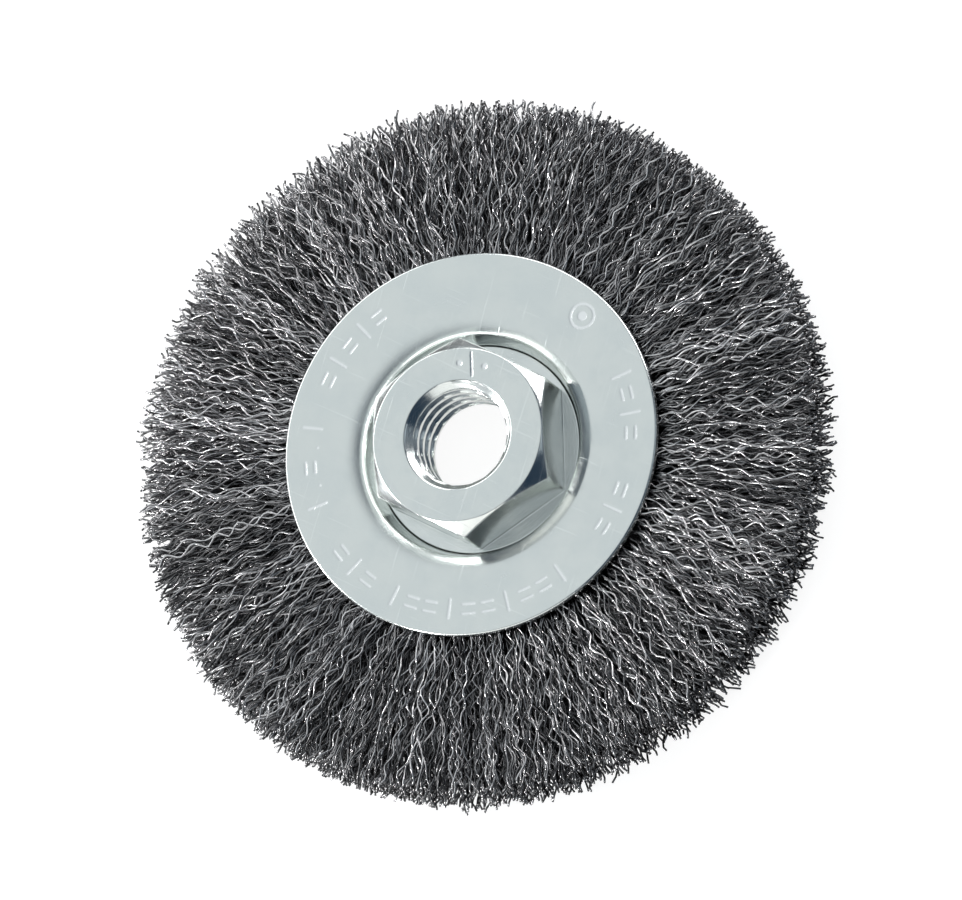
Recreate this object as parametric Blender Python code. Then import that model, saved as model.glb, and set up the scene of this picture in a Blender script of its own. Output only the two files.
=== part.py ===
"""Crimped wire wheel brush with a threaded arbor nut.

The wheel lies flat: its axis is +Z, the nut points up, and the back plate rests on z = 0.
One corner of the hexagon points along +Y. Lengths are in metres.
"""

import math

import bmesh
import bpy
from mathutils import Vector

MM = 0.001

# Wire fill
WHEEL_RADIUS = 50.8 * MM
BUNDLE_COUNT = 24
RIM_WIDTH = 12.2 * MM  # width of the brushing face
FLARE_RUN = 4.5 * MM  # past the plates' edge, until the wires have spread to the rim width
FOLD_THICKNESS = 1.5 * MM  # wires folded round the core ring
FOLD_HALF_HEIGHT = 2.4 * MM  # of the fold's inner side
BUNDLE_GAP = 0.9  # degrees between neighbouring bundles
WIRE_CLEARANCE = 0.3 * MM  # from the wires to the plates and the core ring
CORE_WIRE_RADIUS = 1.4 * MM

# Plates, both the same stamping, with their recess floors back to back
PLATE_RADIUS = 27.85 * MM
PLATE_THICKNESS = 1.2 * MM
PLATE_SPACING = 10.3 * MM  # between the plates' inner faces
PLATE_EDGE_ROUND = 0.4 * MM
WALL_ANGLE = 82.0  # degrees from the plate's face to the wall of its recess
DISH_BEND = 5.5 * MM  # radius of the gentle bend from the face inwards
DISH_ANGLE = 30.0  # degrees, where the gentle bend has become this steep and ends
SHOULDER_BEND = 1.3 * MM  # radius of the tight bend from there into the wall
FIT_CLEARANCE = 0.3 * MM  # between pieces that touch on the real wheel

# Arbor nut
HEX_ACROSS_FLATS = 25.4 * MM
HEX_HEIGHT = 9.1 * MM
HEX_CHAMFER = 40.0  # degrees
LAND_MARGIN = 0.2 * MM  # from the round land on top to the flats
FLANGE_MARGIN = 0.5 * MM  # from the hexagon's corners to the round flange under it
FLANGE_THICKNESS = 0.9 * MM
SLEEVE_BORE_RADIUS = 9.6 * MM
SLEEVE_WALL = 1.4 * MM
LIP_WIDTH = 3.0 * MM  # of the sleeve's end, rolled outwards behind the back plate
LIP_THICKNESS = 0.8 * MM

# 5/8-11 thread
THREAD_MAJOR_RADIUS = 7.94 * MM
THREAD_MINOR_RADIUS = 6.75 * MM
THREAD_PITCH = 25.4 * MM / 11
THREAD_LENGTH = 10.3 * MM
THREAD_CREST = 0.25  # of the pitch, left flat between two turns of the groove
THREAD_FLANK = 30.0  # degrees from a plane across the axis
THREAD_OVERCUT = 0.3 * MM  # of the groove's cutter, inside the bore
THREAD_RUNOUT = 0.5  # of a turn, past each end of the thread
COUNTERSINK_MARGIN = 0.2 * MM  # outside the thread's major radius
COUNTERSINK_ANGLE = 45.0  # degrees
NECK_RUN = 1.5 * MM  # of the cone between the sleeve's bore and the thread

# How finely round shapes are divided
RING_STEPS = 48
HEX_STEPS = 48
BUNDLE_STEPS = 2
THREAD_STEPS = 24  # for each turn
CORE_STEPS = 8
BEND_STEPS = 3
SMOOTH_ANGLE = 35.0  # degrees

# Sizes that follow from those above
PLATE_FRONT_FACE = PLATE_SPACING + 2 * PLATE_THICKNESS
MID_PLANE = PLATE_FRONT_FACE / 2
HEX_CORNER_RADIUS = HEX_ACROSS_FLATS / 2 / math.cos(math.pi / 6)
LAND_RADIUS = HEX_ACROSS_FLATS / 2 - LAND_MARGIN
FLANGE_RADIUS = HEX_CORNER_RADIUS + FLANGE_MARGIN
SLEEVE_RADIUS = SLEEVE_BORE_RADIUS + SLEEVE_WALL
APERTURE_RADIUS = SLEEVE_RADIUS + FIT_CLEARANCE
LIP_RADIUS = SLEEVE_RADIUS + LIP_WIDTH
FRONT_FLOOR = MID_PLANE + FIT_CLEARANCE / 2 + PLATE_THICKNESS
BACK_FLOOR = 2 * MID_PLANE - FRONT_FLOOR
FLANGE_BOTTOM = FRONT_FLOOR + FIT_CLEARANCE
FLANGE_TOP = FLANGE_BOTTOM + FLANGE_THICKNESS
NUT_TOP = FLANGE_TOP + HEX_HEIGHT
LIP_TOP = BACK_FLOOR - FIT_CLEARANCE
LIP_BOTTOM = LIP_TOP - LIP_THICKNESS
THREAD_END = NUT_TOP - THREAD_LENGTH
COUNTERSINK_RADIUS = THREAD_MAJOR_RADIUS + COUNTERSINK_MARGIN

# The recess, from its floor up to the plate's face
FLOOR_RADIUS = max(FLANGE_RADIUS, LIP_RADIUS) + FIT_CLEARANCE
DISH_SINE = math.sin(math.radians(DISH_ANGLE))
DISH_COSINE = math.cos(math.radians(DISH_ANGLE))
WALL_SINE = math.sin(math.radians(WALL_ANGLE))
WALL_COSINE = math.cos(math.radians(WALL_ANGLE))
WALL_SLOPE = WALL_SINE / WALL_COSINE
SHOULDER_DROP = DISH_BEND * (1 - DISH_COSINE) + SHOULDER_BEND * (DISH_COSINE - WALL_COSINE)
SHOULDER_RUN = DISH_BEND * DISH_SINE + SHOULDER_BEND * (WALL_SINE - DISH_SINE)
WALL_RUN = (PLATE_FRONT_FACE - FRONT_FLOOR - SHOULDER_DROP) / WALL_SLOPE
RECESS_RADIUS = FLOOR_RADIUS + WALL_RUN + SHOULDER_RUN
FLOOR_UNDERSIDE_RADIUS = FLOOR_RADIUS + PLATE_THICKNESS * math.tan(math.radians(WALL_ANGLE / 2))

# The wires' fold lies against the underside of that wall
FOLD_RISE = FOLD_HALF_HEIGHT - FIT_CLEARANCE / 2
FOLD_CLEARANCE = WIRE_CLEARANCE / WALL_SINE
FOLD_RADIUS = FLOOR_UNDERSIDE_RADIUS + FOLD_RISE / WALL_SLOPE + FOLD_CLEARANCE
CORE_RING_RADIUS = FOLD_RADIUS + FOLD_THICKNESS + CORE_WIRE_RADIUS
EYE_RADIUS = CORE_WIRE_RADIUS + WIRE_CLEARANCE
FILL_HALF_WIDTH = PLATE_SPACING / 2 - WIRE_CLEARANCE


def clear_scene():
    for obj in list(bpy.data.objects):
        bpy.data.objects.remove(obj, do_unlink=True)


def make_material(name, colour, roughness, metallic=1.0):
    material = bpy.data.materials.new(name)
    material.use_nodes = True
    shader = material.node_tree.nodes["Principled BSDF"]
    shader.inputs["Base Color"].default_value = (*colour, 1.0)
    shader.inputs["Roughness"].default_value = roughness
    shader.inputs["Metallic"].default_value = metallic
    return material


def around(radius, angle, height):
    return Vector((radius * math.cos(angle), radius * math.sin(angle), height))


def join_rows(bm, here, ahead):
    """Fills the strip between two closed rows of vertices with quads."""
    for k in range(len(here)):
        after = (k + 1) % len(here)
        bm.faces.new((here[k], here[after], ahead[after], ahead[k]))


def bridge_rings(bm, rings, closed):
    """Joins each ring of points to the next one, and caps both ends unless the rings close up."""
    rows = [[bm.verts.new(point) for point in ring] for ring in rings]
    for here, ahead in zip(rows, rows[1:]):
        join_rows(bm, here, ahead)
    if closed:
        join_rows(bm, rows[-1], rows[0])
    else:
        bm.faces.new(rows[0])
        bm.faces.new(rows[-1])


def finish_object(name, bm, material):
    bmesh.ops.recalc_face_normals(bm, faces=bm.faces)
    mesh = bpy.data.meshes.new(name)
    bm.to_mesh(mesh)
    bm.free()
    mesh.shade_smooth()
    mesh.set_sharp_from_angle(angle=math.radians(SMOOTH_ANGLE))
    if material is not None:
        mesh.materials.append(material)
    obj = bpy.data.objects.new(name, mesh)
    bpy.context.scene.collection.objects.link(obj)
    return obj


def turned_piece(name, outline, material):
    """Turns a closed outline of (radius, height) points round the axis."""
    rings = []
    for step in range(RING_STEPS):
        angle = 2 * math.pi * step / RING_STEPS
        rings.append([around(radius, angle, height) for radius, height in outline])
    bm = bmesh.new()
    bridge_rings(bm, rings, closed=True)
    return finish_object(name, bm, material)


def bend_points(centre_radius, centre_height, bend, first, last):
    """An arc from one slope to another, both in degrees, as (radius, height) points."""
    points = []
    for step in range(BEND_STEPS + 1):
        angle = math.radians(first + (last - first) * step / BEND_STEPS)
        points.append((centre_radius - bend * math.sin(angle), centre_height + bend * math.cos(angle)))
    return points


def shoulder_points(depth):
    """From the top of the recess wall out to the plate's face, this deep inside the sheet."""
    dish_height = PLATE_FRONT_FACE - DISH_BEND
    between = DISH_BEND - SHOULDER_BEND
    tight_radius = RECESS_RADIUS - between * DISH_SINE
    tight_height = dish_height + between * DISH_COSINE
    tight = bend_points(tight_radius, tight_height, SHOULDER_BEND - depth, WALL_ANGLE, DISH_ANGLE)
    gentle = bend_points(RECESS_RADIUS, dish_height, DISH_BEND - depth, DISH_ANGLE, 0.0)
    return tight + gentle[1:]


def plate_outline():
    """Half section of the front plate, as (radius, height) points."""
    floor_under = FRONT_FLOOR - PLATE_THICKNESS
    face_under = PLATE_FRONT_FACE - PLATE_THICKNESS
    outside = [(APERTURE_RADIUS, FRONT_FLOOR), (FLOOR_RADIUS, FRONT_FLOOR)]
    outside += shoulder_points(0.0)
    edge = [
        (PLATE_RADIUS - PLATE_EDGE_ROUND, PLATE_FRONT_FACE),
        (PLATE_RADIUS, PLATE_FRONT_FACE - PLATE_EDGE_ROUND),
        (PLATE_RADIUS, face_under + PLATE_EDGE_ROUND),
        (PLATE_RADIUS - PLATE_EDGE_ROUND, face_under),
    ]
    inside = [(APERTURE_RADIUS, floor_under), (FLOOR_UNDERSIDE_RADIUS, floor_under)]
    inside += shoulder_points(PLATE_THICKNESS)
    return outside + edge + inside[::-1]


def make_plates(material):
    front = plate_outline()
    back = [(radius, 2 * MID_PLANE - height) for radius, height in front]
    turned_piece("front_plate", front, material)
    turned_piece("back_plate", back, material)


def circle_section(radius, steps):
    """Points of a circle round the core ring's centre line, as (radius, height)."""
    points = []
    for step in range(steps):
        angle = 2 * math.pi * (step + 0.5) / steps
        across = radius * math.cos(angle)
        points.append((CORE_RING_RADIUS + across, MID_PLANE + radius * math.sin(angle)))
    return points


def make_core_ring(material):
    turned_piece("core_ring", circle_section(CORE_WIRE_RADIUS, CORE_STEPS), material)


def bundle_section():
    """Section of a wire bundle, going the same way round the core ring as circle_section does."""
    rim = RIM_WIDTH / 2
    flare = PLATE_RADIUS + FLARE_RUN
    upper = [
        (WHEEL_RADIUS, rim),
        (flare, rim),
        (PLATE_RADIUS, FILL_HALF_WIDTH),
        (RECESS_RADIUS, FILL_HALF_WIDTH),
        (FOLD_RADIUS, FOLD_HALF_HEIGHT),
    ]
    lower = [(radius, -height) for radius, height in reversed(upper)]
    return [(radius, MID_PLANE + height) for radius, height in upper + lower]


def make_wire_bundle(index, material):
    """A wedge of the wire fill, threaded on the core ring like a bead."""
    pitch = 2 * math.pi / BUNDLE_COUNT
    half_span = pitch / 2 - math.radians(BUNDLE_GAP) / 2
    middle = pitch * index
    outline = bundle_section()
    eye = circle_section(EYE_RADIUS, len(outline))
    bm = bmesh.new()
    loops = []
    for section in (outline, eye):
        rows = []
        for step in range(BUNDLE_STEPS + 1):
            angle = middle - half_span + 2 * half_span * step / BUNDLE_STEPS
            rows.append([bm.verts.new(around(r, angle, z)) for r, z in section])
        for here, ahead in zip(rows, rows[1:]):
            join_rows(bm, here, ahead)
        loops.append(rows)
    for end in (0, -1):
        join_rows(bm, loops[0][end], loops[1][end])
    return finish_object(f"wire_bundle_{index + 1:02d}", bm, material)


def hexagon_radius(angle):
    """Distance from the axis to the hexagon's side, with a corner on +Y."""
    side = math.pi / 3
    off_flat = (angle - math.pi / 2) % side - side / 2
    return HEX_ACROSS_FLATS / 2 / math.cos(off_flat)


def nut_rows(angle):
    """One radial section of the nut and its sleeve, from the top land down the outside and up the bore."""
    side = hexagon_radius(angle)
    chamfer_drop = (side - LAND_RADIUS) * math.tan(math.radians(HEX_CHAMFER))
    countersink_drop = COUNTERSINK_RADIUS - THREAD_MINOR_RADIUS
    countersink_drop *= math.tan(math.radians(COUNTERSINK_ANGLE))
    return [
        (LAND_RADIUS, NUT_TOP),
        (side, NUT_TOP - chamfer_drop),
        (side, FLANGE_TOP),
        (FLANGE_RADIUS, FLANGE_TOP),
        (FLANGE_RADIUS, FLANGE_BOTTOM),
        (SLEEVE_RADIUS, FLANGE_BOTTOM),
        (SLEEVE_RADIUS, LIP_TOP),
        (LIP_RADIUS, LIP_TOP),
        (LIP_RADIUS, LIP_BOTTOM),
        (SLEEVE_BORE_RADIUS, LIP_BOTTOM),
        (SLEEVE_BORE_RADIUS, THREAD_END - NECK_RUN),
        (THREAD_MINOR_RADIUS, THREAD_END),
        (THREAD_MINOR_RADIUS, NUT_TOP - countersink_drop),
        (COUNTERSINK_RADIUS, NUT_TOP),
    ]


def make_thread_cutter():
    """The groove of the thread: a tapered bar wound along a helix, running out past both ends."""
    inside = THREAD_MINOR_RADIUS - THREAD_OVERCUT
    depth = THREAD_MAJOR_RADIUS - inside
    taper = math.tan(math.radians(THREAD_FLANK))
    wide = THREAD_PITCH * (1 - THREAD_CREST) / 2 + THREAD_OVERCUT * taper
    narrow = wide - depth * taper
    turns = THREAD_LENGTH / THREAD_PITCH + 2 * THREAD_RUNOUT
    stations = math.ceil(turns * THREAD_STEPS)
    start = THREAD_END - THREAD_RUNOUT * THREAD_PITCH
    rings = []
    for station in range(stations + 1):
        angle = 2 * math.pi * station / THREAD_STEPS
        height = start + THREAD_PITCH * station / THREAD_STEPS
        ring = [
            around(inside, angle, height - wide),
            around(THREAD_MAJOR_RADIUS, angle, height - narrow),
            around(THREAD_MAJOR_RADIUS, angle, height + narrow),
            around(inside, angle, height + wide),
        ]
        rings.append(ring)
    bm = bmesh.new()
    bridge_rings(bm, rings, closed=False)
    cutter = finish_object("thread_cutter", bm, None)
    cutter.hide_render = True
    cutter.display_type = "WIRE"
    return cutter


def make_arbor_nut(material):
    rings = []
    for step in range(HEX_STEPS):
        angle = 2 * math.pi * step / HEX_STEPS
        rings.append([around(radius, angle, height) for radius, height in nut_rows(angle)])
    bm = bmesh.new()
    bridge_rings(bm, rings, closed=True)
    nut = finish_object("arbor_nut", bm, material)
    cut = nut.modifiers.new("thread", "BOOLEAN")
    cut.operation = "DIFFERENCE"
    cut.solver = "EXACT"
    cut.object = make_thread_cutter()
    return nut


def main():
    clear_scene()
    zinc = make_material("zinc_plate", (0.56, 0.60, 0.62), 0.32)
    nut_steel = make_material("zinc_nut", (0.60, 0.64, 0.65), 0.25)
    wire_steel = make_material("crimped_wire", (0.09, 0.09, 0.10), 0.4)
    hoop_steel = make_material("hoop_steel", (0.35, 0.35, 0.36), 0.4)
    make_plates(zinc)
    make_arbor_nut(nut_steel)
    make_core_ring(hoop_steel)
    for index in range(BUNDLE_COUNT):
        make_wire_bundle(index, wire_steel)


main()
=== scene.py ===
import math

import bpy
import numpy as np
from mathutils import Matrix, Vector


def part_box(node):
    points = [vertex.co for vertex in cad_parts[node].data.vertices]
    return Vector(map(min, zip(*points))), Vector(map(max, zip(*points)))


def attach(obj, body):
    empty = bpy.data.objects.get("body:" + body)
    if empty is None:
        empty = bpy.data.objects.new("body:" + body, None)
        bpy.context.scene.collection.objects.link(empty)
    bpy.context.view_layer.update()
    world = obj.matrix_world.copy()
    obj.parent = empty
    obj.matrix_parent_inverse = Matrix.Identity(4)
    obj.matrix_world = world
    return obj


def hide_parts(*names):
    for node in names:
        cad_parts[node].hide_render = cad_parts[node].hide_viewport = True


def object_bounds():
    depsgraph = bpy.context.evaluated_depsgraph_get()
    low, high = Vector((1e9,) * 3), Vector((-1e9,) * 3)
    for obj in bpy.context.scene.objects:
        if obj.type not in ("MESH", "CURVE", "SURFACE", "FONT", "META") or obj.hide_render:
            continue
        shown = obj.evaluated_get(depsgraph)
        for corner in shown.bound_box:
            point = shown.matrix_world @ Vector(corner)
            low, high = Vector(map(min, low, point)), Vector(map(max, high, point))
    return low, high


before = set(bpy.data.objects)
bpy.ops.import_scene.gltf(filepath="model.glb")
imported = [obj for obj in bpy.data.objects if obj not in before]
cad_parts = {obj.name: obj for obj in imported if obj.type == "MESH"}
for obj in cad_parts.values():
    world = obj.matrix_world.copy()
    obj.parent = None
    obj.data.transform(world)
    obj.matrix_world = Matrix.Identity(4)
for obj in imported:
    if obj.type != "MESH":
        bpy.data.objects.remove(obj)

mm = 0.001
turn = 2 * math.pi
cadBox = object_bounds()

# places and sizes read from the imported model
plateLow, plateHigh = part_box("front_plate")
nutLow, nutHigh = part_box("arbor_nut")
ringLow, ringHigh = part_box("core_ring")
frontFace = plateHigh.z
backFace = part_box("back_plate")[0].z
midPlane = (frontFace + backFace) / 2
plateRadius = plateHigh.x
nutTop = nutHigh.z
ringHalf = (ringHigh.z - ringLow.z) / 2
ringRadius = ringHigh.x - ringHalf
wheelRadius = cadBox[1][0]
bundleNames = sorted(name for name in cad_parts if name.startswith("wire_bundle"))
bundleLow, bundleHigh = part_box(bundleNames[0])
rimHalf = (bundleHigh.z - bundleLow.z) / 2


# camera, floor and lights
view = dict(
    tilt=23.87,  # degrees between the line of sight and the wheel's axis
    swing=-39.3,  # degrees round the axis, from +X to the side that faces the camera
    roll=-35.3,  # degrees, where that side lies in the view
    distance=1.5,
    target=(0.0, 0.0, 0.0127),
    slide=(1.62 * mm, 0.96 * mm),  # of the camera, to its right and down
    shownWidth=0.13588,  # across the frame, at the target
    sensor=36.0,
    farthest=20.0,
)


def viewAxes():
    # right, up and back directions of the camera
    tilt, swing, roll = (math.radians(view[k]) for k in ("tilt", "swing", "roll"))
    outward = Vector((math.cos(swing), math.sin(swing), 0))
    across = Vector((-math.sin(swing), math.cos(swing), 0))
    axis = Vector((0, 0, 1))
    back = outward * math.sin(tilt) + axis * math.cos(tilt)
    leaning = outward * math.cos(tilt) - axis * math.sin(tilt)
    right = leaning * math.cos(roll) - across * math.sin(roll)
    up = leaning * math.sin(roll) + across * math.cos(roll)
    return right, up, back


def placed(obj, position, right, up, back):
    obj.matrix_world = Matrix.Translation(position) @ Matrix((right, up, back)).transposed().to_4x4()
    bpy.context.scene.collection.objects.link(obj)
    return obj


def makeCamera():
    right, up, back = viewAxes()
    data = bpy.data.cameras.new("camera")
    data.sensor_width = view["sensor"]
    data.lens = view["distance"] * view["sensor"] / view["shownWidth"]
    data.clip_end = view["farthest"]
    slide = right * view["slide"][0] - up * view["slide"][1]
    position = Vector(view["target"]) + back * view["distance"] + slide
    bpy.context.scene.camera = placed(bpy.data.objects.new("camera", data), position, right, up, back)


stage = dict(
    floorSize=3.0,
    floorGap=0.02 * mm,  # under the wheel
    floorRoughness=0.9,
    floorColour=(0.30, 0.30, 0.30),
    floorGlow=0.88,  # seen by the camera only, as on a lit table
    floorDim=(0.16, 0.16, 0.16),  # what the metal sees of the floor
    panelRadius=14 * mm,  # lit patch of the floor under the bore
    panelEdge=0.8,  # share of that radius where it starts to fade
    panelGlow=0.75,
    lampDistance=0.7,
    domeTurn=162.0,  # degrees, as for the softboxes below
    domeTilt=32.0,
    domeEdges=(0.30, 0.96),  # cosines of the angle from its middle
    roomDark=(0.020, 0.038, 0.064),
    roomPale=(0.70, 0.755, 0.775),
    horizon=(0.30, 0.33, 0.35),
    horizonEdges=(0.30, 0.12),  # heights, as sines, between which it fades in
)

# turn is the azimuth in the view's own sense, 0 to the right and 90 to the top; tilt is from straight up
softboxes = [
    dict(name="left_low", turn=158, tilt=68, size=(1.00, 0.30), power=2.2),
    dict(name="top_low", turn=92, tilt=66, size=(0.34, 0.30), power=0.9),
    dict(name="top_right", turn=57, tilt=74, size=(0.40, 0.20), power=1.8),
    dict(name="bottom", turn=-93, tilt=63, size=(0.74, 0.36), power=0.95, colour=(1.0, 1.0, 0.96)),
    dict(name="right_fill", turn=12, tilt=54, size=(0.30, 0.30), power=0.12, colour=(0.85, 0.95, 1.0)),
    dict(name="spark", turn=195, tilt=66, size=(0.10, 0.10), power=1.7),
    dict(name="spark_below", turn=-125, tilt=72, size=(0.12, 0.12), power=1.6),
]


def cameraSees(tree, shown, others, output):
    # one shader for what the camera sees itself, another for every other ray
    path = tree.nodes.new("ShaderNodeLightPath")
    either = tree.nodes.new("ShaderNodeMixShader")
    tree.links.new(path.outputs["Is Camera Ray"], either.inputs["Fac"])
    tree.links.new(others, either.inputs[1])
    tree.links.new(shown, either.inputs[2])
    tree.links.new(either.outputs["Shader"], output.inputs["Surface"])


def makeFloor():
    half = stage["floorSize"] / 2
    mesh = bpy.data.meshes.new("floor")
    corners = [(-half, -half, 0), (half, -half, 0), (half, half, 0), (-half, half, 0)]
    mesh.from_pydata(corners, [], [(0, 1, 2, 3)])
    floor = bpy.data.objects.new("floor", mesh)
    floor.location.z = cadBox[0][2] - stage["floorGap"]
    bpy.context.scene.collection.objects.link(floor)
    material = bpy.data.materials.new("pale_floor")
    material.use_nodes = True
    nodes, links = material.node_tree.nodes, material.node_tree.links
    shown = nodes["Principled BSDF"]
    dim = nodes.new("ShaderNodeBsdfPrincipled")
    for shader, colour in ((shown, stage["floorColour"]), (dim, stage["floorDim"])):
        shader.inputs["Base Color"].default_value = (*colour, 1)
        shader.inputs["Roughness"].default_value = stage["floorRoughness"]
        shader.inputs["Specular IOR Level"].default_value = 0.0
        shader.inputs["Emission Color"].default_value = (1, 1, 1, 1)
    shown.inputs["Emission Strength"].default_value = stage["floorGlow"]
    place = nodes.new("ShaderNodeTexCoord")
    length = nodes.new("ShaderNodeVectorMath")
    length.operation = "LENGTH"
    links.new(place.outputs["Object"], length.inputs[0])
    reach = stage["panelRadius"]
    inner = stage["panelEdge"] * reach
    lit = remap(material.node_tree, length.outputs["Value"], inner, reach, stage["panelGlow"], 0.0)
    links.new(lit, dim.inputs["Emission Strength"])
    cameraSees(material.node_tree, shown.outputs["BSDF"], dim.outputs["BSDF"], nodes["Material Output"])
    mesh.materials.append(material)


def skyward(turned, tilted):
    azimuth = math.radians(turned - view["roll"] + view["swing"])
    tilt = math.radians(tilted)
    return Vector((math.cos(azimuth) * math.sin(tilt), math.sin(azimuth) * math.sin(tilt), math.cos(tilt)))


def makeLights():
    for box in softboxes:
        away = skyward(box["turn"], box["tilt"])
        data = bpy.data.lights.new(box["name"], "AREA")
        data.shape = "RECTANGLE"
        data.size, data.size_y = box["size"]
        data.energy = box["power"]
        data.color = box.get("colour", (1.0, 1.0, 1.0))
        lamp = bpy.data.objects.new(box["name"], data)
        lamp.location = Vector((0, 0, midPlane)) + away * stage["lampDistance"]
        lamp.rotation_euler = away.to_track_quat("Z", "Y").to_euler()
        bpy.context.scene.collection.objects.link(lamp)
    # the room is a soft dome with a dim horizon; the camera itself sees white behind everything
    world = bpy.data.worlds.new("room")
    world.use_nodes = True
    tree = world.node_tree
    room = tree.nodes["Background"]
    facing = tree.nodes.new("ShaderNodeVectorMath")
    facing.operation = "DOT_PRODUCT"
    place = tree.nodes.new("ShaderNodeTexCoord")
    tree.links.new(place.outputs["Generated"], facing.inputs[0])
    facing.inputs[1].default_value = skyward(stage["domeTurn"], stage["domeTilt"])
    share = remap(tree, facing.outputs["Value"], *stage["domeEdges"], 0.0, 1.0)
    dome = blendColours(tree, share, stage["roomDark"], stage["roomPale"])
    parts = tree.nodes.new("ShaderNodeSeparateXYZ")
    tree.links.new(place.outputs["Generated"], parts.inputs["Vector"])
    high, low = stage["horizonEdges"]
    glow = remap(tree, parts.outputs["Z"], low, high, 1.0, 0.0)
    tree.links.new(blendColours(tree, glow, dome, stage["horizon"]), room.inputs["Color"])
    white = tree.nodes.new("ShaderNodeBackground")
    white.inputs["Color"].default_value = (1, 1, 1, 1)
    cameraSees(tree, white.outputs["Background"], room.outputs["Background"], tree.nodes["World Output"])
    bpy.context.scene.world = world


# shader node groups shared by the metals
def newGroup(name, inputs, outputs):
    group = bpy.data.node_groups.new(name, "ShaderNodeTree")
    for label, value in inputs:
        socket = group.interface.new_socket(name=label, in_out="INPUT", socket_type="NodeSocketFloat")
        socket.default_value = value
    for label, kind in outputs:
        group.interface.new_socket(name=label, in_out="OUTPUT", socket_type=kind)
    start = group.nodes.new("NodeGroupInput")
    end = group.nodes.new("NodeGroupOutput")
    return group, start, end


def mathNode(tree, operation, first, second=None):
    node = tree.nodes.new("ShaderNodeMath")
    node.operation = operation
    for socket, value in zip(node.inputs, (first, second)):
        if value is None:
            continue
        if isinstance(value, (int, float)):
            socket.default_value = value
        else:
            tree.links.new(value, socket)
    return node.outputs["Value"]


def remap(tree, value, fromLow, fromHigh, toLow, toHigh):
    node = tree.nodes.new("ShaderNodeMapRange")
    node.interpolation_type = "SMOOTHSTEP"
    tree.links.new(value, node.inputs["Value"])
    limits = {"From Min": fromLow, "From Max": fromHigh, "To Min": toLow, "To Max": toHigh}
    for label, number in limits.items():
        node.inputs[label].default_value = number
    return node.outputs["Result"]


def noiseNode(tree, vector, scale, detail, roughness=0.5):
    node = tree.nodes.new("ShaderNodeTexNoise")
    node.inputs["Detail"].default_value = detail
    node.inputs["Roughness"].default_value = roughness
    if isinstance(scale, (int, float)):
        node.inputs["Scale"].default_value = scale
    else:
        tree.links.new(scale, node.inputs["Scale"])
    tree.links.new(vector, node.inputs["Vector"])
    return node.outputs["Fac"]


def turningGroup():
    # fine rings about the wheel's axis, broken up along their length
    group, start, end = newGroup(
        "turningRings",
        [("Rings per metre", 6000.0), ("Wander", 6.0)],
        [("Rings", "NodeSocketFloat")],
    )
    place = group.nodes.new("ShaderNodeTexCoord")
    parts = group.nodes.new("ShaderNodeSeparateXYZ")
    group.links.new(place.outputs["Object"], parts.inputs["Vector"])
    x, y = parts.outputs["X"], parts.outputs["Y"]
    squares = mathNode(group, "ADD", mathNode(group, "MULTIPLY", x, x), mathNode(group, "MULTIPLY", y, y))
    radius = mathNode(group, "SQRT", squares)
    across = mathNode(group, "MULTIPLY", radius, start.outputs["Rings per metre"])
    joined = group.nodes.new("ShaderNodeCombineXYZ")
    group.links.new(across, joined.inputs["X"])
    wander = start.outputs["Wander"]
    angle = mathNode(group, "ARCTAN2", y, x)
    aside = mathNode(group, "MULTIPLY", mathNode(group, "COSINE", angle), wander)
    along = mathNode(group, "MULTIPLY", mathNode(group, "SINE", angle), wander)
    group.links.new(aside, joined.inputs["Y"])
    group.links.new(along, joined.inputs["Z"])
    rings = noiseNode(group, joined.outputs["Vector"], scale=1.0, detail=3.0, roughness=0.6)
    group.links.new(rings, end.inputs["Rings"])
    return group


def cloudGroup():
    # blotches that a zinc bath leaves, and the finer grain inside them
    group, start, end = newGroup(
        "zincClouds",
        [("Blotches per metre", 160.0), ("Grains per metre", 2600.0)],
        [("Clouds", "NodeSocketFloat"), ("Grain", "NodeSocketFloat")],
    )
    place = group.nodes.new("ShaderNodeTexCoord")
    where = place.outputs["Object"]
    clouds = noiseNode(group, where, start.outputs["Blotches per metre"], detail=4.0, roughness=0.55)
    grain = noiseNode(group, where, start.outputs["Grains per metre"], detail=2.0, roughness=0.5)
    group.links.new(remap(group, clouds, 0.32, 0.68, 0.0, 1.0), end.inputs["Clouds"])
    group.links.new(grain, end.inputs["Grain"])
    return group


def scratchGroup():
    # sparse hair-thin handling marks, running in two directions
    group, start, end = newGroup(
        "handlingScratches",
        [("Marks per metre", 90.0), ("Stretch", 26.0)],
        [("Scratches", "NodeSocketFloat")],
    )
    place = group.nodes.new("ShaderNodeTexCoord")
    found = []
    for angle in (0.5, 1.9):
        turned = group.nodes.new("ShaderNodeVectorRotate")
        turned.rotation_type = "Z_AXIS"
        turned.inputs["Angle"].default_value = angle
        group.links.new(place.outputs["Object"], turned.inputs["Vector"])
        parts = group.nodes.new("ShaderNodeSeparateXYZ")
        joined = group.nodes.new("ShaderNodeCombineXYZ")
        group.links.new(turned.outputs["Vector"], parts.inputs["Vector"])
        group.links.new(parts.outputs["X"], joined.inputs["X"])
        stretched = mathNode(group, "MULTIPLY", parts.outputs["Y"], start.outputs["Stretch"])
        group.links.new(stretched, joined.inputs["Y"])
        group.links.new(parts.outputs["Z"], joined.inputs["Z"])
        scale = start.outputs["Marks per metre"]
        marks = noiseNode(group, joined.outputs["Vector"], scale, detail=2.0, roughness=0.45)
        found.append(remap(group, marks, 0.66, 0.74, 0.0, 1.0))
    group.links.new(mathNode(group, "MAXIMUM", *found), end.inputs["Scratches"])
    return group


turningRings = turningGroup()
zincClouds = cloudGroup()
handlingScratches = scratchGroup()


def placeGroup(tree, group, **values):
    node = tree.nodes.new("ShaderNodeGroup")
    node.node_tree = group
    for label, value in values.items():
        node.inputs[label.replace("_", " ")].default_value = value
    return node


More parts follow.
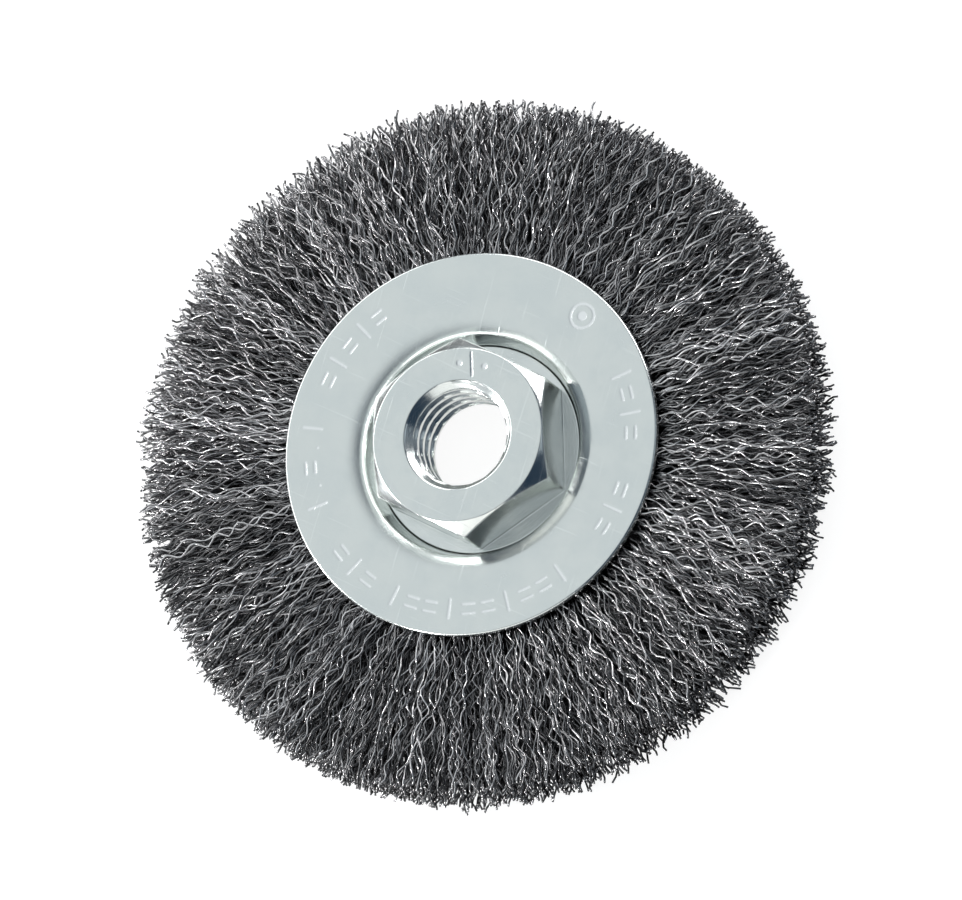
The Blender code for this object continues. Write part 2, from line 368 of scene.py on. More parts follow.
def newMaterial(name, metallic=1.0):
    material = bpy.data.materials.new(name)
    material.use_nodes = True
    shader = material.node_tree.nodes["Principled BSDF"]
    shader.inputs["Metallic"].default_value = metallic
    return material, material.node_tree, shader


def blendColours(tree, factor, first, second):
    node = tree.nodes.new("ShaderNodeMix")
    node.data_type = "RGBA"
    tree.links.new(factor, node.inputs["Factor"])
    for label, colour in (("A", first), ("B", second)):
        socket = [s for s in node.inputs if s.name == label and s.type == "RGBA"][0]
        if isinstance(colour, tuple):
            socket.default_value = (*colour, 1)
        else:
            tree.links.new(colour, socket)
    return [s for s in node.outputs if s.type == "RGBA"][0]


def bumpNode(tree, height, distance, normal=None, strength=1.0):
    node = tree.nodes.new("ShaderNodeBump")
    node.inputs["Strength"].default_value = strength
    node.inputs["Distance"].default_value = distance
    tree.links.new(height, node.inputs["Height"])
    if normal is not None:
        tree.links.new(normal, node.inputs["Normal"])
    return node.outputs["Normal"]


zinc = dict(
    bright=(0.82, 0.84, 0.82),
    hazy=(0.76, 0.79, 0.78),
    scratched=(0.90, 0.92, 0.90),
    # painted highlight: the stamped marks are painted near white, standing in for light catching their
    # edges
    pressedAndHighlight=(1.0, 1.0, 1.0),
    roughness=(0.17, 0.25),
    ringRoughness=0.16,  # how much the turned rings change it
    scratchShare=0.5,
    grainDepth=0.006 * mm,
    scratchDepth=0.008 * mm,
)
hoopLook = dict(zinc, bright=(0.45, 0.45, 0.46), hazy=(0.3, 0.3, 0.3))
finishes = dict(
    plate=dict(ringDepth=0.004 * mm, ringsPerMetre=2500.0, blotches=150.0),
    nut=dict(ringDepth=0.012 * mm, ringsPerMetre=5200.0, blotches=240.0),
    hoop=dict(ringDepth=0.01 * mm, ringsPerMetre=4000.0, blotches=300.0),
)


def zincMaterial(name, look, ringDepth, ringsPerMetre, blotches):
    material, tree, shader = newMaterial(name)
    clouds = placeGroup(tree, zincClouds, Blotches_per_metre=blotches)
    rings = placeGroup(tree, turningRings, Rings_per_metre=ringsPerMetre)
    marks = placeGroup(tree, handlingScratches)
    base = blendColours(tree, clouds.outputs["Clouds"], look["bright"], look["hazy"])
    share = mathNode(tree, "MULTIPLY", marks.outputs["Scratches"], look["scratchShare"])
    colour = blendColours(tree, share, base, look["scratched"])
    # the stamp shares paint the marks near white: a painted highlight, not a colour of the zinc
    stamp = tree.nodes.new("ShaderNodeAttribute")
    stamp.attribute_name = "pressedAndHighlight"
    colour = blendColours(tree, stamp.outputs["Fac"], colour, look["pressedAndHighlight"])
    tree.links.new(colour, shader.inputs["Base Color"])
    low, high = look["roughness"]
    rough = remap(tree, clouds.outputs["Clouds"], 0.0, 1.0, low, high)
    centred = mathNode(tree, "SUBTRACT", rings.outputs["Rings"], 0.5)
    uneven = mathNode(tree, "MULTIPLY", centred, look["ringRoughness"])
    tree.links.new(mathNode(tree, "ADD", rough, uneven), shader.inputs["Roughness"])
    normal = bumpNode(tree, rings.outputs["Rings"], ringDepth)
    normal = bumpNode(tree, clouds.outputs["Grain"], look["grainDepth"], normal)
    normal = bumpNode(tree, marks.outputs["Scratches"], look["scratchDepth"], normal)
    tree.links.new(normal, shader.inputs["Normal"])
    return material


wireLook = dict(
    dark=(0.03, 0.029, 0.031),
    light=(0.90, 0.88, 0.89),
    toneShare=0.75,  # of each wire's own tone in its colour; the clouds make up the rest
    blotches=420.0,
    roughness=(0.12, 0.24),
    drawDepth=0.006 * mm,
    drawScale=4200.0,
)


def wireMaterial():
    # burnished spring wire, each one a little lighter or darker than the next
    material, tree, shader = newMaterial("crimped_spring_wire")
    tone = tree.nodes.new("ShaderNodeAttribute")
    tone.attribute_name = "wireTone"
    blotches, grains = wireLook["blotches"], wireLook["drawScale"]
    clouds = placeGroup(tree, zincClouds, Blotches_per_metre=blotches, Grains_per_metre=grains)
    own = mathNode(tree, "MULTIPLY", tone.outputs["Fac"], wireLook["toneShare"])
    cloudy = mathNode(tree, "MULTIPLY", clouds.outputs["Clouds"], 1 - wireLook["toneShare"])
    mixed = mathNode(tree, "ADD", own, cloudy)
    colour = blendColours(tree, mixed, wireLook["dark"], wireLook["light"])
    tree.links.new(colour, shader.inputs["Base Color"])
    low, high = wireLook["roughness"]
    tree.links.new(remap(tree, clouds.outputs["Clouds"], 0.0, 1.0, low, high), shader.inputs["Roughness"])
    normal = bumpNode(tree, clouds.outputs["Grain"], wireLook["drawDepth"])
    tree.links.new(normal, shader.inputs["Normal"])
    return material


# mesh helpers
def finishPiece(name, mesh, material, node, sharpAngle=None):
    if sharpAngle is not None:
        mesh.shade_smooth()
        mesh.set_sharp_from_angle(angle=math.radians(sharpAngle))
    mesh.materials.append(material)
    piece = bpy.data.objects.new(name, mesh)
    bpy.context.scene.collection.objects.link(piece)
    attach(piece, "root")
    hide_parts(node)
    return piece


def meshFromArrays(name, points, quads, caps=None):
    # quads is (n, 4); caps is (m, sides), for the ends of tubes
    mesh = bpy.data.meshes.new(name)
    loops = quads.ravel()
    starts = np.arange(len(quads)) * 4
    if caps is not None:
        starts = np.concatenate([starts, len(loops) + np.arange(len(caps)) * caps.shape[1]])
        loops = np.concatenate([loops, caps.ravel()])
    mesh.vertices.add(len(points))
    mesh.vertices.foreach_set("co", points.astype(np.float32).ravel())
    mesh.loops.add(len(loops))
    mesh.loops.foreach_set("vertex_index", loops.astype(np.int32))
    mesh.polygons.add(len(starts))
    mesh.polygons.foreach_set("loop_start", starts.astype(np.int32))
    mesh.update(calc_edges=True)
    mesh.validate()
    return mesh


def turnedMesh(name, radii, heights, angles):
    # radii and heights are (rows, angles), going down the outside and back up the inside
    rows, steps = radii.shape
    points = np.stack([radii * np.cos(angles), radii * np.sin(angles), heights], axis=-1).reshape(-1, 3)
    row = np.arange(rows)[:, None]
    step = np.arange(steps)[None, :]
    ahead, beside = (row + 1) % rows, (step + 1) % steps
    corners = [row * steps + step, ahead * steps + step, ahead * steps + beside, row * steps + beside]
    quads = np.stack([np.broadcast_to(c, (rows, steps)) for c in corners], axis=-1).reshape(-1, 4)
    mesh = meshFromArrays(name, points, quads)
    # the map: v runs along the section, u round the axis
    leastRun = 0.02 * mm
    across = np.diff(radii.mean(1), append=radii[:1].mean(1))
    upward = np.diff(heights.mean(1), append=heights[:1].mean(1))
    v = np.concatenate([[0], np.cumsum(np.maximum(np.hypot(across, upward), leastRun))])
    v = v / v[-1]
    u = np.arange(steps + 1) / steps
    low, high = np.broadcast_to(v[:-1, None], (rows, steps)), np.broadcast_to(v[1:, None], (rows, steps))
    left, right = np.broadcast_to(u[None, :-1], (rows, steps)), np.broadcast_to(u[None, 1:], (rows, steps))
    uv = np.stack([left, low, left, high, right, high, right, low], axis=-1)
    layer = mesh.uv_layers.new(name="OFBake")
    layer.data.foreach_set("uv", uv.astype(np.float32).ravel())
    return mesh


def arc(centre, radius, start, stop, steps):
    # points (radius, height) on an arc, in degrees, both ends included
    angles = np.radians(np.linspace(start, stop, steps + 1))
    return [(centre[0] + radius * math.cos(a), centre[1] + radius * math.sin(a)) for a in angles]


def straight(first, last, steps):
    # points between two ends, leaving both out
    shares = np.arange(1, steps) / steps
    return [(first[0] + (last[0] - first[0]) * s, first[1] + (last[1] - first[1]) * s) for s in shares]


def segmentDistance(x, y, start, stop):
    dx, dy = stop[0] - start[0], stop[1] - start[1]
    share = np.clip(((x - start[0]) * dx + (y - start[1]) * dy) / (dx * dx + dy * dy), 0, 1)
    return np.hypot(x - start[0] - share * dx, y - start[1] - share * dy)


def smooth(values):
    clipped = np.clip(values, 0, 1)
    return clipped * clipped * (3 - 2 * clipped)


def pressedShare(distance, width, core):
    # 1 on a mark, fading to 0 beside it; core is the share of the width where the fade starts
    fade = 0.6
    return 1 - smooth((distance / width - core) / fade)


# plates
plate = dict(
    thickness=1.2 * mm,
    edgeRound=0.42 * mm,
    wallAngle=72.0,  # degrees, of the recess wall
    recessRadius=19.31 * mm,  # where the dish starts
    dishBend=5.5 * mm,  # radius of the gentle bend from the face inwards
    dishAngle=30.0,  # degrees, where it ends
    bend=1.3 * mm,  # radius of the tight bend from there into the wall
    crease=0.35 * mm,  # radius at the foot of the wall
    holeLand=0.1 * mm,  # the row of points beside the hole
    edgeBand=3 * mm,  # the flat ring inside the edge, underneath
    angles=840,
    sharpAngle=32,
    stampRows=34,
    stampBand=(21.3 * mm, 26.9 * mm),
    stampRadius=24.0 * mm,
    stampDepth=0.10 * mm,
    stampWidth=0.34 * mm,
    stampCore=0.25,
    stampHalfHeight=1.4 * mm,
    stampHalfRun=0.85 * mm,
    stampPitch=6.9,  # degrees
    dotLow=0.8,  # how far below the middle a dot lies, in half heights
    level=1e-7,  # how near the face a row counts as on it
)

# rows of plain marks: the angle of the first one in degrees, then
# | for a bar, = for a pair across it and . for a dot
markRows = [
    (151.0, "=|=|="),
    (196.0, "|.=.|"),
    (229.0, "=|="),
    (302.5, "|==|==|==|"),
    (337.5, "=|="),
    (378.0, "|=|="),
]
roundMark = dict(angle=44.0, radius=1.75 * mm, dot=0.5 * mm)


def plateProfile():
    # the front plate's section as (radius, height) points: over the outside, then back along the inside
    t, bend, dishBend, crease = plate["thickness"], plate["bend"], plate["dishBend"], plate["crease"]
    wall, lean = math.radians(plate["wallAngle"]), math.radians(plate["dishAngle"])
    floorUnder = plateLow.z
    floor = floorUnder + t
    aperture = apertureRadius()
    land = aperture + plate["holeLand"]
    drop = dishBend * (1 - math.cos(lean)) + bend * (math.cos(lean) - math.cos(wall))
    run = dishBend * math.sin(lean) + bend * (math.sin(wall) - math.sin(lean))
    floorRadius = plate["recessRadius"] - run - (frontFace - floor - drop) / math.tan(wall)
    dish = (plate["recessRadius"], frontFace - dishBend)
    between = dishBend - bend
    tight = (dish[0] - between * math.sin(lean), dish[1] + between * math.cos(lean))
    # fillet at the foot of the wall, on the outside
    reach = crease * math.tan(wall / 2)
    foot = (floorRadius - reach, floor + crease)
    outside = [(aperture, floor), (land, floor)]
    outside += arc(foot, crease, -90, -90 + plate["wallAngle"], steps=4)
    wallTop = (tight[0] - bend * math.sin(wall), tight[1] + bend * math.cos(wall))
    outside += straight(outside[-1], wallTop, steps=4)
    outside += arc(tight, bend, 90 + plate["wallAngle"], 90 + plate["dishAngle"], steps=9)
    outside += arc(dish, dishBend, 90 + plate["dishAngle"], 90, steps=10)[1:]
    low, high = plate["stampBand"]
    last = plate["stampRows"]
    outside += [(low + (high - low) * k / last, frontFace) for k in range(last + 1)]
    e = plate["edgeRound"]
    outside += arc((plateRadius - e, frontFace - e), e, 90, 0, steps=5)
    outside += arc((plateRadius - e, frontFace - t + e), e, 0, -90, steps=5)
    underFoot = floorRadius + t * math.tan(wall / 2)
    inside = [(plateRadius - plate["edgeBand"], frontFace - t)]
    inside += arc(dish, dishBend - t, 90, 90 + plate["dishAngle"], steps=6)
    inside += arc(tight, bend - t, 90 + plate["dishAngle"], 90 + plate["wallAngle"], steps=3)[1:]
    inside += [(underFoot, floorUnder), (land, floorUnder), (aperture, floorUnder)]
    return np.array(outside + inside)


def apertureRadius():
    # the plates' hole, from the solid's own points
    points = np.array([v.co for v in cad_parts["front_plate"].data.vertices])
    return float(np.hypot(points[:, 0], points[:, 1]).min())


def stampedDepth(radius, angle):
    # how deeply each point of the face is stamped, 0 to 1
    depth = np.zeros_like(radius)
    half, run = plate["stampHalfHeight"], plate["stampHalfRun"]

    def press(distance):
        return pressedShare(distance, plate["stampWidth"], plate["stampCore"])

    for start, kinds in markRows:
        for k, kind in enumerate(kinds):
            middle = math.radians(start - k * plate["stampPitch"])
            away = (angle - middle + math.pi) % turn - math.pi
            x = away * plate["stampRadius"]
            y = radius - plate["stampRadius"]
            if kind == "|":
                distance = segmentDistance(x, y, (0, -half), (0, half))
            elif kind == "=":
                distance = segmentDistance(x, np.abs(y), (-run, half / 2), (run, half / 2))
            else:
                distance = np.hypot(x, y + half * plate["dotLow"])
            depth = np.maximum(depth, press(distance))
    middle = math.radians(roundMark["angle"])
    away = (angle - middle + math.pi) % turn - math.pi
    fromCentre = np.hypot(away * plate["stampRadius"], radius - plate["stampRadius"])
    depth = np.maximum(depth, press(np.abs(fromCentre - roundMark["radius"])))
    depth = np.maximum(depth, press(fromCentre - roundMark["dot"]))
    return depth


def addStamp(mesh, pressedAndHighlight):
    # the same shares for the material, which paints the marks near white there: a painted highlight
    # standing in for light catching the stamped strokes
    layer = mesh.attributes.new("pressedAndHighlight", "FLOAT", "POINT")
    layer.data.foreach_set("value", pressedAndHighlight.astype(np.float32).ravel())


def makePlates(material):
    profile = plateProfile()
    angles = np.arange(plate["angles"]) * turn / plate["angles"]
    radii = np.repeat(profile[:, :1], len(angles), axis=1)
    heights = np.repeat(profile[:, 1:], len(angles), axis=1)
    low, high = plate["stampBand"]
    level = profile[:, 1] > frontFace - plate["level"]
    onFace = level & (profile[:, 0] >= low) & (profile[:, 0] <= high)
    grid = np.broadcast_to(angles, radii.shape)
    pressedAndHighlight = np.zeros_like(radii)
    pressedAndHighlight[onFace] = stampedDepth(radii[onFace], grid[onFace])
    front = turnedMesh("front_plate_stamped", radii, heights - pressedAndHighlight * plate["stampDepth"], angles)
    addStamp(front, pressedAndHighlight)
    finishPiece("front_plate_stamped", front, material, "front_plate", plate["sharpAngle"])
    back = turnedMesh("back_plate_plain", radii[::-1], 2 * midPlane - heights[::-1], angles)
    finishPiece("back_plate_plain", back, material, "back_plate", plate["sharpAngle"])


# arbor nut
nut = dict(
    acrossFlats=25.4 * mm,
    cornerRound=0.45 * mm,
    chamfer=40.0,  # degrees
    landMargin=0.2 * mm,
    edge=0.12 * mm,  # small breaks on the edges
    breakLimit=0.28,  # the most that a break takes of the chamfer's width
    close=0.03 * mm,  # between the paired rows that keep a face's shading flat
    stampDepth=0.13 * mm,
    fit=0.3 * mm,  # from the recess floor to the flange
    flange=0.9 * mm,
    flangeRound=0.14 * mm,
    flangeTopRadius=15.06 * mm,
    flangeFootRadius=14.72 * mm,
    sleeveRadius=11.0 * mm,
    sleeveBore=9.6 * mm,
    lipRadius=14.0 * mm,
    lip=0.8 * mm,
    roll=0.9 * mm,  # radius of the lip's inner edge
    majorRadius=7.94 * mm,
    minorRadius=6.87 * mm,
    pitch=25.4 * mm / 11,
    flank=30.0,  # degrees, half the angle between the thread's sides
    rootFlat=1 / 16,  # half the flat at the bottom of the groove, in pitches
    threadLength=10.3 * mm,
    countersink=8.0 * mm,
    neck=1.5 * mm,
    landRows=24,
    threadRowsPerTurn=18,
    anglesPerSide=84,
    cornerAngles=(0.25, 0.55, 0.9, 1.4),  # degrees from a corner, where extra points go
    sharpAngle=28,
)
landMarks = dict(
    line=((2.4 * mm, 8.3 * mm), (2.4 * mm, 11.8 * mm)),
    lineWidth=0.3 * mm,
    lineCore=0.2,
    dots=((0.6 * mm, 10.4 * mm), (4.3 * mm, 9.5 * mm)),
    dotWidth=0.7 * mm,
    dotCore=0.3,
)


def nutAngles():
    side = turn / 6
    even = np.arange(nut["anglesPerSide"]) / nut["anglesPerSide"] * side
    close = np.radians(nut["cornerAngles"])
    once = np.unique(np.concatenate([even, close, side - close]))
    start = math.pi / 2  # a corner
    return np.sort(np.concatenate([(once + k * side + start) % turn for k in range(6)]))


def hexRadius(angles, inset=0.0):
    # distance to a hexagon with rounded corners, one of them on +Y
    side = turn / 6
    flat = nut["acrossFlats"] / 2 - inset
    fromFlat = (angles - math.pi / 2) % side - side / 2
    plain = flat / np.cos(fromFlat)
    rounding = nut["cornerRound"]
    fromCorner = side / 2 - np.abs(fromFlat)
    centre = (flat - rounding) / math.cos(side / 2)
    inside = np.maximum(rounding**2 - (centre * np.sin(fromCorner)) ** 2, 0)
    rounded = centre * np.cos(fromCorner) + np.sqrt(inside)
    limit = math.atan2(rounding * math.sin(side / 2), centre + rounding * math.cos(side / 2))
    return np.where(fromCorner < limit, rounded, plain)


def threadRadius(angles, height, top, bottom):
    # the bore's radius: thread grooves, opened out by the countersink and by the neck below
    taper = math.tan(math.radians(nut["flank"]))
    narrow = nut["pitch"] * nut["rootFlat"]
    turns = height / nut["pitch"] - angles / turn
    off = np.abs(turns % 1 - 0.5) * nut["pitch"]
    groove = nut["majorRadius"] - np.maximum(off - narrow, 0) / taper
    radius = np.maximum(groove, nut["minorRadius"])
    sunk = nut["countersink"] - (top - height)
    wider = nut["sleeveBore"] - nut["minorRadius"]
    necked = nut["minorRadius"] + (bottom - height) * wider / nut["neck"]
    return np.maximum(radius, np.maximum(sunk, necked))


def landStamp(x, y):
    # one line and two dots beside the corner on +Y
    line = segmentDistance(x, y, *landMarks["line"])
    dots = np.minimum(*(np.hypot(x - across, y - out) for across, out in landMarks["dots"]))
    lined = pressedShare(line, landMarks["lineWidth"], landMarks["lineCore"])
    return np.maximum(lined, pressedShare(dots, landMarks["dotWidth"], landMarks["dotCore"]))


def makeNut(material):
    angles = nutAngles()
    one = np.ones_like(angles)
    top, edge = nutTop, nut["edge"]
    flangeBottom = plateLow.z + plate["thickness"] + nut["fit"]
    flangeTop = flangeBottom + nut["flange"]
    lipBottom = nutLow.z
    lipTop = lipBottom + nut["lip"]
    land = nut["acrossFlats"] / 2 - nut["landMargin"]
    slope = math.tan(math.radians(nut["chamfer"]))
    flat = hexRadius(angles)
    chamferFoot = top - (flat - land) * slope
    rows = []
    pressedAndHighlight = []

    def row(radius, height):
        rows.append((radius * one, height * one))

    # top land, with its stamp
    inner = nut["countersink"]
    for k in range(nut["landRows"] + 1):
        radius = inner + edge + (land - inner - 2 * edge) * k / nut["landRows"]
        pressedAndHighlight.append(landStamp(radius * np.cos(angles), radius * np.sin(angles)))
        row(radius, top - pressedAndHighlight[-1] * nut["stampDepth"])
    # chamfer, with a small break at each side that narrows with it
    small = np.minimum(edge, nut["breakLimit"] * (flat - land))
    row(land, top - 0.21 * small)
    row(land + small, top - small * slope)
    row((land + flat) / 2, (top + chamferFoot) / 2)
    row(flat - small, chamferFoot + small * slope)
    row(flat - 0.25 * small, chamferFoot - 0.12 * small)
    # flats; the close pairs of rows keep the shading of each face flat
    close = nut["close"]
    row(flat, chamferFoot - 1.3 * small)
    row(flat, chamferFoot - 1.3 * small - close)
    row(flat, (chamferFoot + flangeTop) / 2)
    row(flat, flangeTop + edge + close)
    row(flat, flangeTop + edge)
    row(flat + 0.3 * edge, flangeTop + 0.3 * edge)
    row(flat + edge, flangeTop)
    row(flat + edge + close, flangeTop)
    # flange, its side sloping like the recess wall
    soft = nut["flangeRound"]
    lean = plate["wallAngle"] - 90
    row(nut["flangeTopRadius"] - soft - close, flangeTop)
    for radius, height in arc((nut["flangeTopRadius"] - soft, flangeTop - soft), soft, 90, lean, steps=5):
        row(radius, height)
    flangeFoot = (nut["flangeFootRadius"] - edge, flangeBottom + edge)
    for radius, height in arc(flangeFoot, edge, lean, -90, steps=3):
        row(radius, height)
    # sleeve and rolled lip
    row(nut["sleeveRadius"] + edge, flangeBottom)
    row(nut["sleeveRadius"], flangeBottom - edge)
    row(nut["sleeveRadius"], lipTop + 2 * edge)
    row(nut["sleeveRadius"] + 2 * edge, lipTop)
    half = (lipTop - lipBottom) / 2
    for radius, height in arc((nut["lipRadius"] - half, lipBottom + half), half, 90, -90, steps=8):
        row(radius, height)
    roll = nut["roll"]
    for radius, height in arc((nut["sleeveBore"] + roll, lipBottom + roll), roll, -90, -180, steps=6):
        row(radius, height)
    # neck and thread
    bottom = top - nut["threadLength"]
    boreLength = nut["threadLength"] + nut["neck"]
    row(nut["sleeveBore"], bottom - nut["neck"])
    rowGap = nut["pitch"] / nut["threadRowsPerTurn"]
    count = int(boreLength / rowGap)
    for k in range(1, count):
        height = bottom - nut["neck"] + boreLength * k / count
        row(threadRadius(angles, height, top, bottom), height)
    row(inner, top - edge * 0.4)
    radii, heights = (np.array(part) for part in zip(*rows))
    mesh = turnedMesh("arbor_nut_threaded", radii, heights, angles)
    plain = np.zeros((len(rows) - len(pressedAndHighlight), len(angles)))
    # the stamp shares go to the material, which paints them near white as a painted highlight
    addStamp(mesh, np.concatenate([np.array(pressedAndHighlight), plain]))
    finishPiece("arbor_nut_threaded", mesh, material, "arbor_nut", nut["sharpAngle"])


# core ring
core = dict(
    wireRadius=1.4 * mm,
    solidSides=8,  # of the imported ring's section
    angles=160,
    sides=20,
    sharpAngle=60,
    weldSwell=0.12 * mm,
    weldWidth=0.03,  # radians round the ring
)


def makeCoreRing(material):
    angles = np.arange(core["angles"]) * turn / core["angles"]
    around = -np.arange(core["sides"]) * turn / core["sides"]
    away = (angles + math.pi) % turn - math.pi
    thick = core["wireRadius"] + core["weldSwell"] * np.exp(-((away / core["weldWidth"]) ** 2))
    radii = ringRadius + thick[None, :] * np.cos(around)[:, None]
    heights = midPlane + thick[None, :] * np.sin(around)[:, None]
    mesh = turnedMesh("core_hoop", radii, heights, angles)
    finishPiece("core_hoop", mesh, material, "core_ring", core["sharpAngle"])


# wires
wire = dict(
    perBundle=120,  # hairpins, two legs each
    radius=0.15 * mm,
    sides=5,
    legSteps=46,
    foldSteps=8,
    foldGap=0.05 * mm,  # between the core ring and the innermost wires
    foldDepth=1.1 * mm,  # thickness of the layers wound round the core ring
    tipMean=50.0 * mm,
    tipSpread=0.55 * mm,
    tipLimits=(47.6 * mm, 51.0 * mm),
    layers=(0.02, 1.0),  # shares of the half thickness where legs lie
    insidePlates=4.85 * mm,  # half thickness of the fill between the plates
    spreadLength=5.5 * mm,  # from the core ring to where the fill is that thick
    fanStart=1.5 * mm,  # inside the plates' edge
    fanLength=11 * mm,
    rimInset=0.45 * mm,
    rimMargin=0.2 * mm,
    spreadRim=0.45 * mm,
    crimp=0.50 * mm,
    crimpSizes=(0.7, 1.25),
    crimpStart=4 * mm,  # over which it grows, from the core ring
    crimpLength=4.4 * mm,
    crimpLengths=(0.82, 1.22),
    crimpHeld=0.35,  # share of its height that the plates leave
    drift=0.5,  # radians by which the crimp runs ahead and behind
    driftLength=13 * mm,
    offset=0.25 * mm,
    lean=0.10,  # sideways slope
    leanRise=4,
    bow=0.8 * mm,  # sideways curve by the tip
    sway=0.55 * mm,  # of the long slow waves
    swayLengths=(17 * mm, 9.5 * mm),
    swayStretch=(0.8, 1.3),
    swayRise=3,
    flick=0.35 * mm,  # of the last tenth
    flickStart=0.9,
    flickLength=0.1,
    ceilingGap=0.12 * mm,
    ceilingStart=0.1 * mm,  # outside the plates' edge
    ceilingSlope=0.9,
    rimExcess=0.02 * mm,
    toneShape=(0.85, 1.8),
    seed=20417,
)


def legPaths(rng, count, side, foldRadius):
    # one leg of each hairpin as (radial, sideways, height) from the core ring out to the tip
    s = np.linspace(0, 1, wire["legSteps"] + 1)[None, :]

    def draw(low, high):
        return rng.uniform(low, high, (count, 1))

    def bell(spread):
        return rng.normal(0, spread, (count, 1))

    tip = np.clip(wire["tipMean"] + bell(wire["tipSpread"]), *wire["tipLimits"])
    radial = ringRadius + (tip - ringRadius) * s
    # height: spread between the plates, then fan out to the rim's width
    depth = draw(*wire["layers"])
    atPlate = depth * wire["insidePlates"]
    outermost = rimHalf - wire["rimMargin"]
    atRim = np.clip(depth * (rimHalf - wire["rimInset"]) + bell(wire["spreadRim"]), 0, outermost)
    spread = smooth((radial - ringRadius) / wire["spreadLength"])
    fan = smooth((radial - (plateRadius - wire["fanStart"])) / wire["fanLength"])
    height = foldRadius * (1 - spread) + atPlate * spread + (atRim - atPlate) * fan
    # crimp, in a plane turned at random about the wire
    length = wire["crimpLength"] * draw(*wire["crimpLengths"])
    phase = draw(0, turn)
    drift = wire["drift"] * np.sin(turn * radial / wire["driftLength"] + draw(0, turn))
    wave = np.sin(turn * (radial - ringRadius) / length + phase + drift)
    size = wire["crimp"] * draw(*wire["crimpSizes"]) * smooth((radial - ringRadius) / wire["crimpStart"])
    plane = draw(0, turn)
    reach = (radial - ringRadius) / (wheelRadius - ringRadius)
    leaning = bell(wire["offset"])
    sideways = leaning + bell(wire["lean"]) * (radial - ringRadius) * smooth(reach * wire["leanRise"])
    sideways = sideways + bell(wire["bow"]) * reach**2 + size * wave * np.cos(plane)
    rise = smooth(reach * wire["swayRise"])
    for swayLength in wire["swayLengths"]:
        period = swayLength * draw(*wire["swayStretch"])
        slow = np.sin(turn * (radial - ringRadius) / period + draw(0, turn))
        sideways = sideways + bell(wire["sway"]) * slow * rise * swayLength / wire["swayLengths"][0]
    flick = smooth((s - wire["flickStart"]) / wire["flickLength"]) ** 2
    sideways = sideways + bell(wire["flick"]) * flick
    height = height + size * wave * np.sin(plane) * (wire["crimpHeld"] + (1 - wire["crimpHeld"]) * fan)
    # kept under the plates, then free above their edge
    past = np.maximum(radial - plateRadius - wire["ceilingStart"], 0)
    ceiling = wire["insidePlates"] + wire["ceilingGap"] + past * wire["ceilingSlope"]
    ceiling = np.minimum(ceiling, rimHalf + wire["rimExcess"])
    height = np.where(np.abs(height) > ceiling, np.sign(height) * ceiling, height)
    return radial, sideways, side * height


def hairpinPaths(rng, count, middle, span):
    slots = (np.arange(count) + rng.uniform(0, 1, count)) / count
    azimuth = middle + (slots - 0.5) * span
    ringWire = ringHalf / math.cos(turn / (2 * core["solidSides"]))
    innermost = ringWire + wire["radius"] + wire["foldGap"]
    foldRadius = innermost + rng.uniform(0, 1, (count, 1)) * wire["foldDepth"]
    front = legPaths(rng, count, 1, foldRadius)
    rear = legPaths(rng, count, -1, foldRadius)
    bend = np.linspace(0.5, 1.5, wire["foldSteps"] + 1)[None, 1:-1] * math.pi
    share = np.linspace(0, 1, wire["foldSteps"] + 1)[None, 1:-1]
    fold = (
        ringRadius + foldRadius * np.cos(bend),
        front[1][:, :1] * (1 - share) + rear[1][:, :1] * share,
        foldRadius * np.sin(bend),
    )
    pieces = zip(front, fold, rear)
    radial, sideways, height = (np.concatenate([f[:, ::-1], b, r], axis=1) for f, b, r in pieces)
    outward = np.stack([np.cos(azimuth), np.sin(azimuth)], axis=-1)[:, None, :]
    beside = np.stack([-np.sin(azimuth), np.cos(azimuth)], axis=-1)[:, None, :]
    flat = radial[..., None] * outward + sideways[..., None] * beside
    paths = np.concatenate([flat, (midPlane + height)[..., None]], axis=-1)
    guides = np.concatenate([beside[:, 0], np.zeros((count, 1))], axis=-1)
    return paths, guides


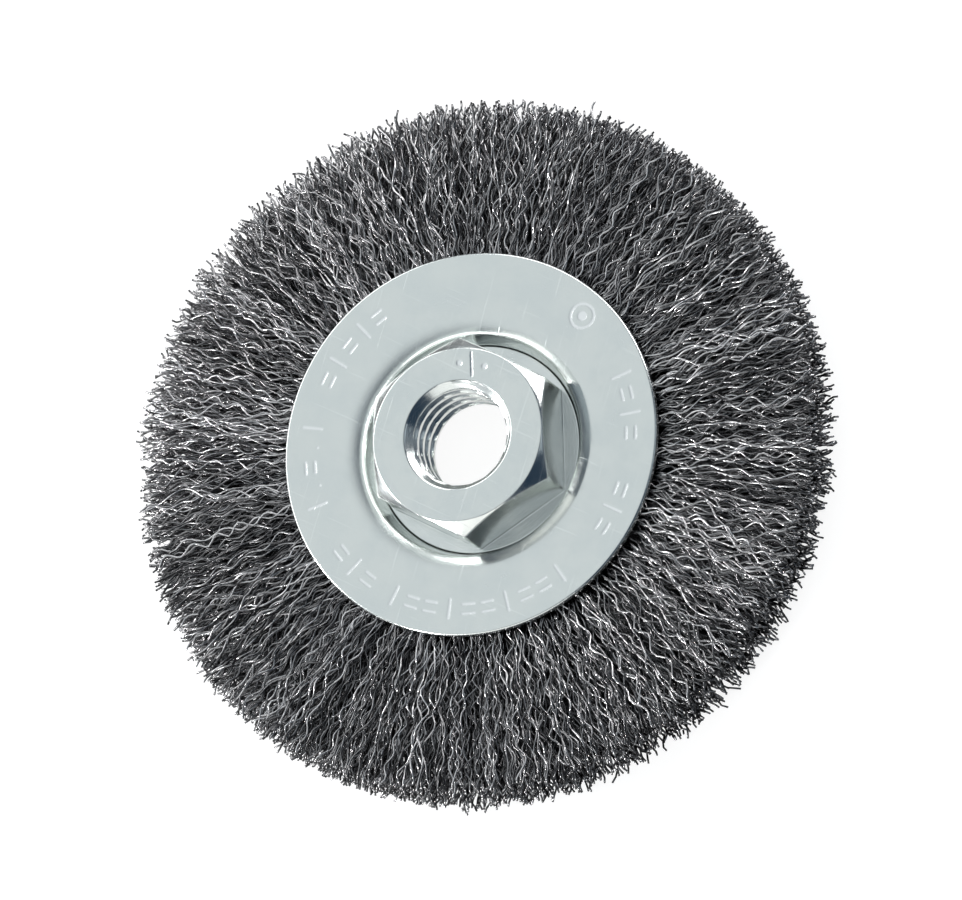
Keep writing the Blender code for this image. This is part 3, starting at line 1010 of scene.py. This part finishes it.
def tubeMesh(name, paths, guides, tones):
    # round tubes along every path, with flat ends and one strip of the map for each
    count, stations = paths.shape[:2]
    sides = wire["sides"]
    along = np.gradient(paths, axis=1)
    along /= np.linalg.norm(along, axis=-1, keepdims=True)
    guide = np.broadcast_to(guides[:, None, :], paths.shape)
    first = guide - (guide * along).sum(-1, keepdims=True) * along
    first /= np.linalg.norm(first, axis=-1, keepdims=True)
    second = np.cross(along, first)
    turns = np.arange(sides) * turn / sides
    ring = first[:, :, None, :] * np.cos(turns)[:, None] + second[:, :, None, :] * np.sin(turns)[:, None]
    points = (paths[:, :, None, :] + wire["radius"] * ring).reshape(-1, 3)
    index = np.arange(count * stations * sides).reshape(count, stations, sides)
    here, ahead = index[:, :-1], index[:, 1:]
    quads = np.stack([here, np.roll(here, -1, 2), np.roll(ahead, -1, 2), ahead], axis=-1).reshape(-1, 4)
    caps = np.concatenate([index[:, 0, ::-1], index[:, -1]])
    mesh = meshFromArrays(name, points, quads, caps)
    smoothFaces = np.ones(len(quads) + len(caps), bool)
    smoothFaces[len(quads):] = False
    mesh.polygons.foreach_set("use_smooth", smoothFaces)
    tone = mesh.attributes.new("wireTone", "FLOAT", "POINT")
    tone.data.foreach_set("value", np.repeat(tones, stations * sides).astype(np.float32))
    # the map: each wire is a strip, its length along u
    strip = 1 / count
    margin, inset, capSize = 0.02, 0.1, 0.4
    u = margin + (1 - 2 * margin) * np.arange(stations) / (stations - 1)
    v = (inset + (1 - 2 * inset) * np.arange(sides + 1) / sides) * strip
    base = (np.arange(count) * strip)[:, None, None]
    shape = (count, stations - 1, sides)
    u0, u1 = (np.broadcast_to(x[None, :, None], shape) for x in (u[:-1], u[1:]))
    v0, v1 = (np.broadcast_to(x[None, None, :] + base, shape) for x in (v[:-1], v[1:]))
    body = np.stack([u0, v0, u0, v1, u1, v1, u1, v0], axis=-1).reshape(-1)
    capU = capSize * margin * np.cos(turns)
    capV = capSize * strip * np.sin(turns)
    middle = np.arange(count)[:, None] * strip + 0.5 * strip
    ends = []
    for centre, order in ((0.5 * margin, -1), (1 - 0.5 * margin, 1)):
        endU = np.broadcast_to(centre + capU[::order], (count, sides))
        ends.append(np.stack([endU, middle + capV[::order]], axis=-1))
    layer = mesh.uv_layers.new(name="OFBake")
    layer.data.foreach_set("uv", np.concatenate([body, *(e.reshape(-1) for e in ends)]).astype(np.float32))
    return mesh


def makeWires(material):
    rng = np.random.default_rng(wire["seed"])
    span = turn / len(bundleNames)
    for k, node in enumerate(bundleNames):
        count = wire["perBundle"]
        paths, guides = hairpinPaths(rng, count, k * span, span)
        tones = rng.beta(*wire["toneShape"], count)
        mesh = tubeMesh(node + "_wires", paths, guides, tones)
        finishPiece(node + "_wires", mesh, material, node)


makeCamera()
makeFloor()
makeLights()
print("stage ready")

zincPlateMaterial = zincMaterial("zinc_plated_sheet", zinc, **finishes["plate"])
zincNutMaterial = zincMaterial("zinc_plated_nut", zinc, **finishes["nut"])
hoopMaterial = zincMaterial("drawn_hoop_wire", hoopLook, **finishes["hoop"])
springWire = wireMaterial()
print("materials ready")

makePlates(zincPlateMaterial)
makeNut(zincNutMaterial)
makeCoreRing(hoopMaterial)
print("plates, nut and core ring ready")
makeWires(springWire)
print("wires ready")

bpy.context.scene.view_settings.view_transform = "Standard"
